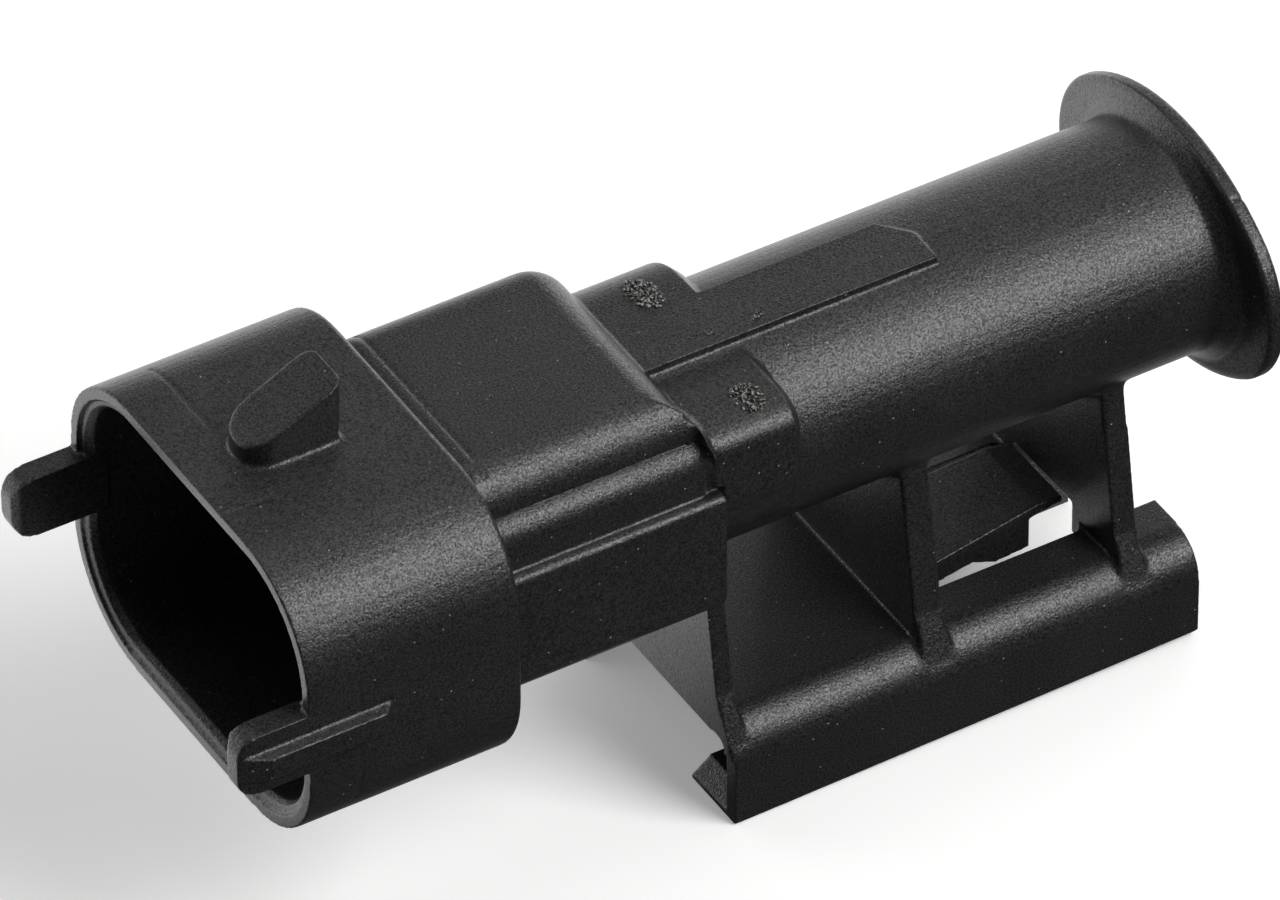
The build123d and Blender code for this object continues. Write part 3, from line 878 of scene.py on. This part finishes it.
def gateTree():
    tree, given = markTree("gateStub", [
        ("Spread", "NodeSocketVector"),
        ("Centre", "NodeSocketVector"),
        ("Turn", "NodeSocketVector"),
        ("Ground", "NodeSocketObject"),
        ("Density", "NodeSocketFloat"),
        ("Shard", "NodeSocketFloat"),
        ("Seed", "NodeSocketInt"),
    ])
    disc = addNode(tree, "GeometryNodeMeshCircle", {
        "Vertices": gateShape["edges"], "Radius": 0.5,
    }, fill_type="NGON")
    patch = addNode(tree, "GeometryNodeTransform", {
        "Geometry": disc.outputs["Mesh"],
        "Translation": given.outputs["Centre"],
        "Rotation": given.outputs["Turn"],
        "Scale": given.outputs["Spread"],
    })
    points = addNode(tree, "GeometryNodeDistributePointsOnFaces", {
        "Mesh": patch.outputs["Geometry"],
        "Density": given.outputs["Density"],
        "Seed": given.outputs["Seed"],
    })
    ground = addNode(tree, "GeometryNodeObjectInfo", {"Object": given.outputs["Ground"]})
    down = addNode(tree, "GeometryNodeRaycast", {
        "Target Geometry": ground.outputs["Geometry"], "Ray Direction": (0.0, 0.0, -1.0),
    })
    landed = addNode(tree, "GeometryNodeSetPosition", {
        "Geometry": points.outputs["Points"],
        "Selection": down.outputs["Is Hit"],
        "Position": down.outputs["Hit Position"],
    })
    shard = addNode(tree, "GeometryNodeMeshIcoSphere", {
        "Radius": given.outputs["Shard"], "Subdivisions": 2,
    })
    spin = addNode(tree, "FunctionNodeRandomValue", {
        0: (0.0, 0.0, 0.0), 1: gateShape["spin"], "Seed": given.outputs["Seed"],
    }, data_type="FLOAT_VECTOR")
    size = addNode(tree, "FunctionNodeRandomValue", {
        0: gateShape["smallest"], 1: gateShape["largest"], "Seed": given.outputs["Seed"],
    }, data_type="FLOAT_VECTOR")
    placed = addNode(tree, "GeometryNodeInstanceOnPoints", {
        "Points": landed.outputs["Geometry"],
        "Instance": shard.outputs["Mesh"],
        "Rotation": spin.outputs[0],
        "Scale": size.outputs[0],
    })
    whole = addNode(tree, "GeometryNodeRealizeInstances", {"Geometry": placed.outputs["Instances"]})
    rough = addNode(tree, "ShaderNodeTexNoise", {"Scale": 1 / (gateShape["tear"] * mm), "Detail": 2.0})
    centred = addNode(tree, "ShaderNodeVectorMath", {
        0: rough.outputs["Color"], 1: (0.5, 0.5, 0.5),
    }, operation="SUBTRACT")
    push = addNode(tree, "ShaderNodeVectorMath", {
        0: centred.outputs["Vector"], "Scale": given.outputs["Shard"],
    }, operation="SCALE")
    torn = addNode(tree, "GeometryNodeSetPosition", {
        "Geometry": whole.outputs["Geometry"], "Offset": push.outputs["Vector"],
    })
    closeTree(tree, torn.outputs["Geometry"], tornNylon)
    return tree


stubTree = gateTree()
for name, stub in gateStubs.items():
    piece = grownPiece(name, stubTree, {
        "Spread": (stub["size"][0] * mm, stub["size"][1] * mm, 1.0),
        "Centre": (stub["centre"][0] * mm, stub["centre"][1] * mm, gateShape["above"] * mm),
        "Turn": (0.0, 0.0, math.radians(stub["turn"])),
        "Ground": bpy.data.objects["mouldedHousing"],
        "Density": stub["density"] / (mm * mm),
        "Shard": stub["shard"] * mm,
        "Seed": stub["seed"],
    }, "housing_body")
    print(name, "has", len(piece.data.polygons), "faces")
print("gate stubs made")


# floor and light

studio = {
    "floorLevel": -22.3,  # mm, under the rail
    "floorHalf": 1500.0,
    "floor": "fbfbfa",
    "paperScale": 900.0,
    "paperRough": (0.75, 0.9),
    "lift": 0.22,  # the floor's white where the camera sees it
    # painted reflection and painted shade: in reflections the floor glows instead of being lit, dark
    # before the near side and white behind the part
    "paintedReflectionNear": 0.05,
    "paintedReflectionFar": 1.5,
    "paintedReflectionFrom": -6.0,  # mm
    "paintedReflectionTo": 16.0,
    # the room's air is bright behind the part and dim before it
    "airToward": (0.35, 0.8, 0.5),
    "airNear": 0.05,
    "airFar": 0.3,
    "airFrom": -0.35,
    "airTo": 0.75,
    "backdrop": 0.9,
}

lamps = {
    "rightBox": {"azimuth": 34, "elevation": 43, "distance": 700, "size": (400, 400), "power": 4.4},
    "overhead": {"azimuth": 150, "elevation": 78, "distance": 800, "size": (500, 500), "power": 0.9},
    "backStrip": {"azimuth": -150, "elevation": 13, "distance": 700, "size": (560, 220), "power": 1.1},
    "sideStrip": {"azimuth": 128, "elevation": 12, "distance": 700, "size": (420, 200), "power": 0.8},
}


def floorMaterial():
    material, tree = newMaterial("whitePaperAndPaintedReflection")
    place = addNode(tree, "ShaderNodeTexCoord").outputs["Object"]
    ray = addNode(tree, "ShaderNodeLightPath")
    seen = addNode(tree, "ShaderNodeMath", {
        0: ray.outputs["Is Camera Ray"], 1: ray.outputs["Is Transmission Ray"],
    }, operation="MAXIMUM")
    fibres = addNode(tree, "ShaderNodeTexNoise", {
        "Vector": place, "Scale": studio["paperScale"], "Detail": 2.0,
    })
    low, high = studio["paperRough"]
    rough = addNode(tree, "ShaderNodeMapRange", {
        "Value": fibres.outputs["Fac"], "To Min": low, "To Max": high,
    })
    lift = addNode(tree, "ShaderNodeMath", {0: seen.outputs[0], 1: studio["lift"]}, operation="MULTIPLY")
    paper = addNode(tree, "ShaderNodeBsdfPrincipled", {
        "Base Color": linearColour(studio["floor"]),
        "Roughness": rough.outputs["Result"],
        "Emission Color": linearColour("ffffff"),
        "Emission Strength": lift.outputs[0],
    })
    # painted reflection: glossy rays see a glowing sheet in place of the paper, dark on the near side
    # and bright behind, which paints shade and light onto the part
    parts = addNode(tree, "ShaderNodeSeparateXYZ", {"Vector": place})
    paintedReflectionLevel = addNode(tree, "ShaderNodeMapRange", {
        "Value": parts.outputs["Y"],
        "From Min": studio["paintedReflectionFrom"] * mm, "From Max": studio["paintedReflectionTo"] * mm,
        "To Min": studio["paintedReflectionNear"], "To Max": studio["paintedReflectionFar"],
    })
    paintedReflection = addNode(tree, "ShaderNodeEmission", {"Strength": paintedReflectionLevel.outputs["Result"]})
    shader = addNode(tree, "ShaderNodeMixShader", {
        0: ray.outputs["Is Glossy Ray"], 1: paper.outputs[0], 2: paintedReflection.outputs[0],
    })
    finishMaterial(tree, shader)
    return material


def addFloor():
    half = studio["floorHalf"] * mm
    level = studio["floorLevel"] * mm
    mesh = bpy.data.meshes.new("studioFloor")
    corners = [(-half, -half, level), (half, -half, level), (half, half, level), (-half, half, level)]
    mesh.from_pydata(corners, [], [(0, 1, 2, 3)])
    mesh.materials.append(floorMaterial())
    floor = linkedObject("studioFloor", mesh)


def addLamps():
    target = (cadBounds[0] + cadBounds[1]) / 2
    for name, lamp in lamps.items():
        direction = directionAt(math.radians(lamp["azimuth"]), math.radians(lamp["elevation"]))
        data = bpy.data.lights.new(name, "AREA")
        data.shape = "RECTANGLE"
        data.size, data.size_y = (side * mm for side in lamp["size"])
        data.energy = lamp["power"]
        light = linkedObject(name, data)
        light.location = target + direction * lamp["distance"] * mm
        light.rotation_mode = "QUATERNION"
        light.rotation_quaternion = direction.to_track_quat("Z", "Y")


def addWorld():
    world = bpy.data.worlds.new("studioAir")
    world.use_nodes = True
    tree = world.node_tree
    tree.nodes.clear()
    heading = addNode(tree, "ShaderNodeTexCoord").outputs["Generated"]
    side = addNode(tree, "ShaderNodeVectorMath", {
        0: heading, 1: Vector(studio["airToward"]).normalized(),
    }, operation="DOT_PRODUCT")
    level = addNode(tree, "ShaderNodeMapRange", {
        "Value": side.outputs["Value"],
        "From Min": studio["airFrom"], "From Max": studio["airTo"],
        "To Min": studio["airNear"], "To Max": studio["airFar"],
    })
    ray = addNode(tree, "ShaderNodeLightPath")
    strength = addNode(tree, "ShaderNodeMix", {
        0: ray.outputs["Is Camera Ray"], 2: level.outputs["Result"], 3: studio["backdrop"],
    })
    air = addNode(tree, "ShaderNodeBackground", {
        "Color": linearColour("ffffff"), "Strength": strength.outputs[0],
    })
    addNode(tree, "ShaderNodeOutputWorld", {"Surface": air.outputs[0]})
    scene.world = world


addFloor()
addLamps()
addWorld()
print("floor and lamps placed")
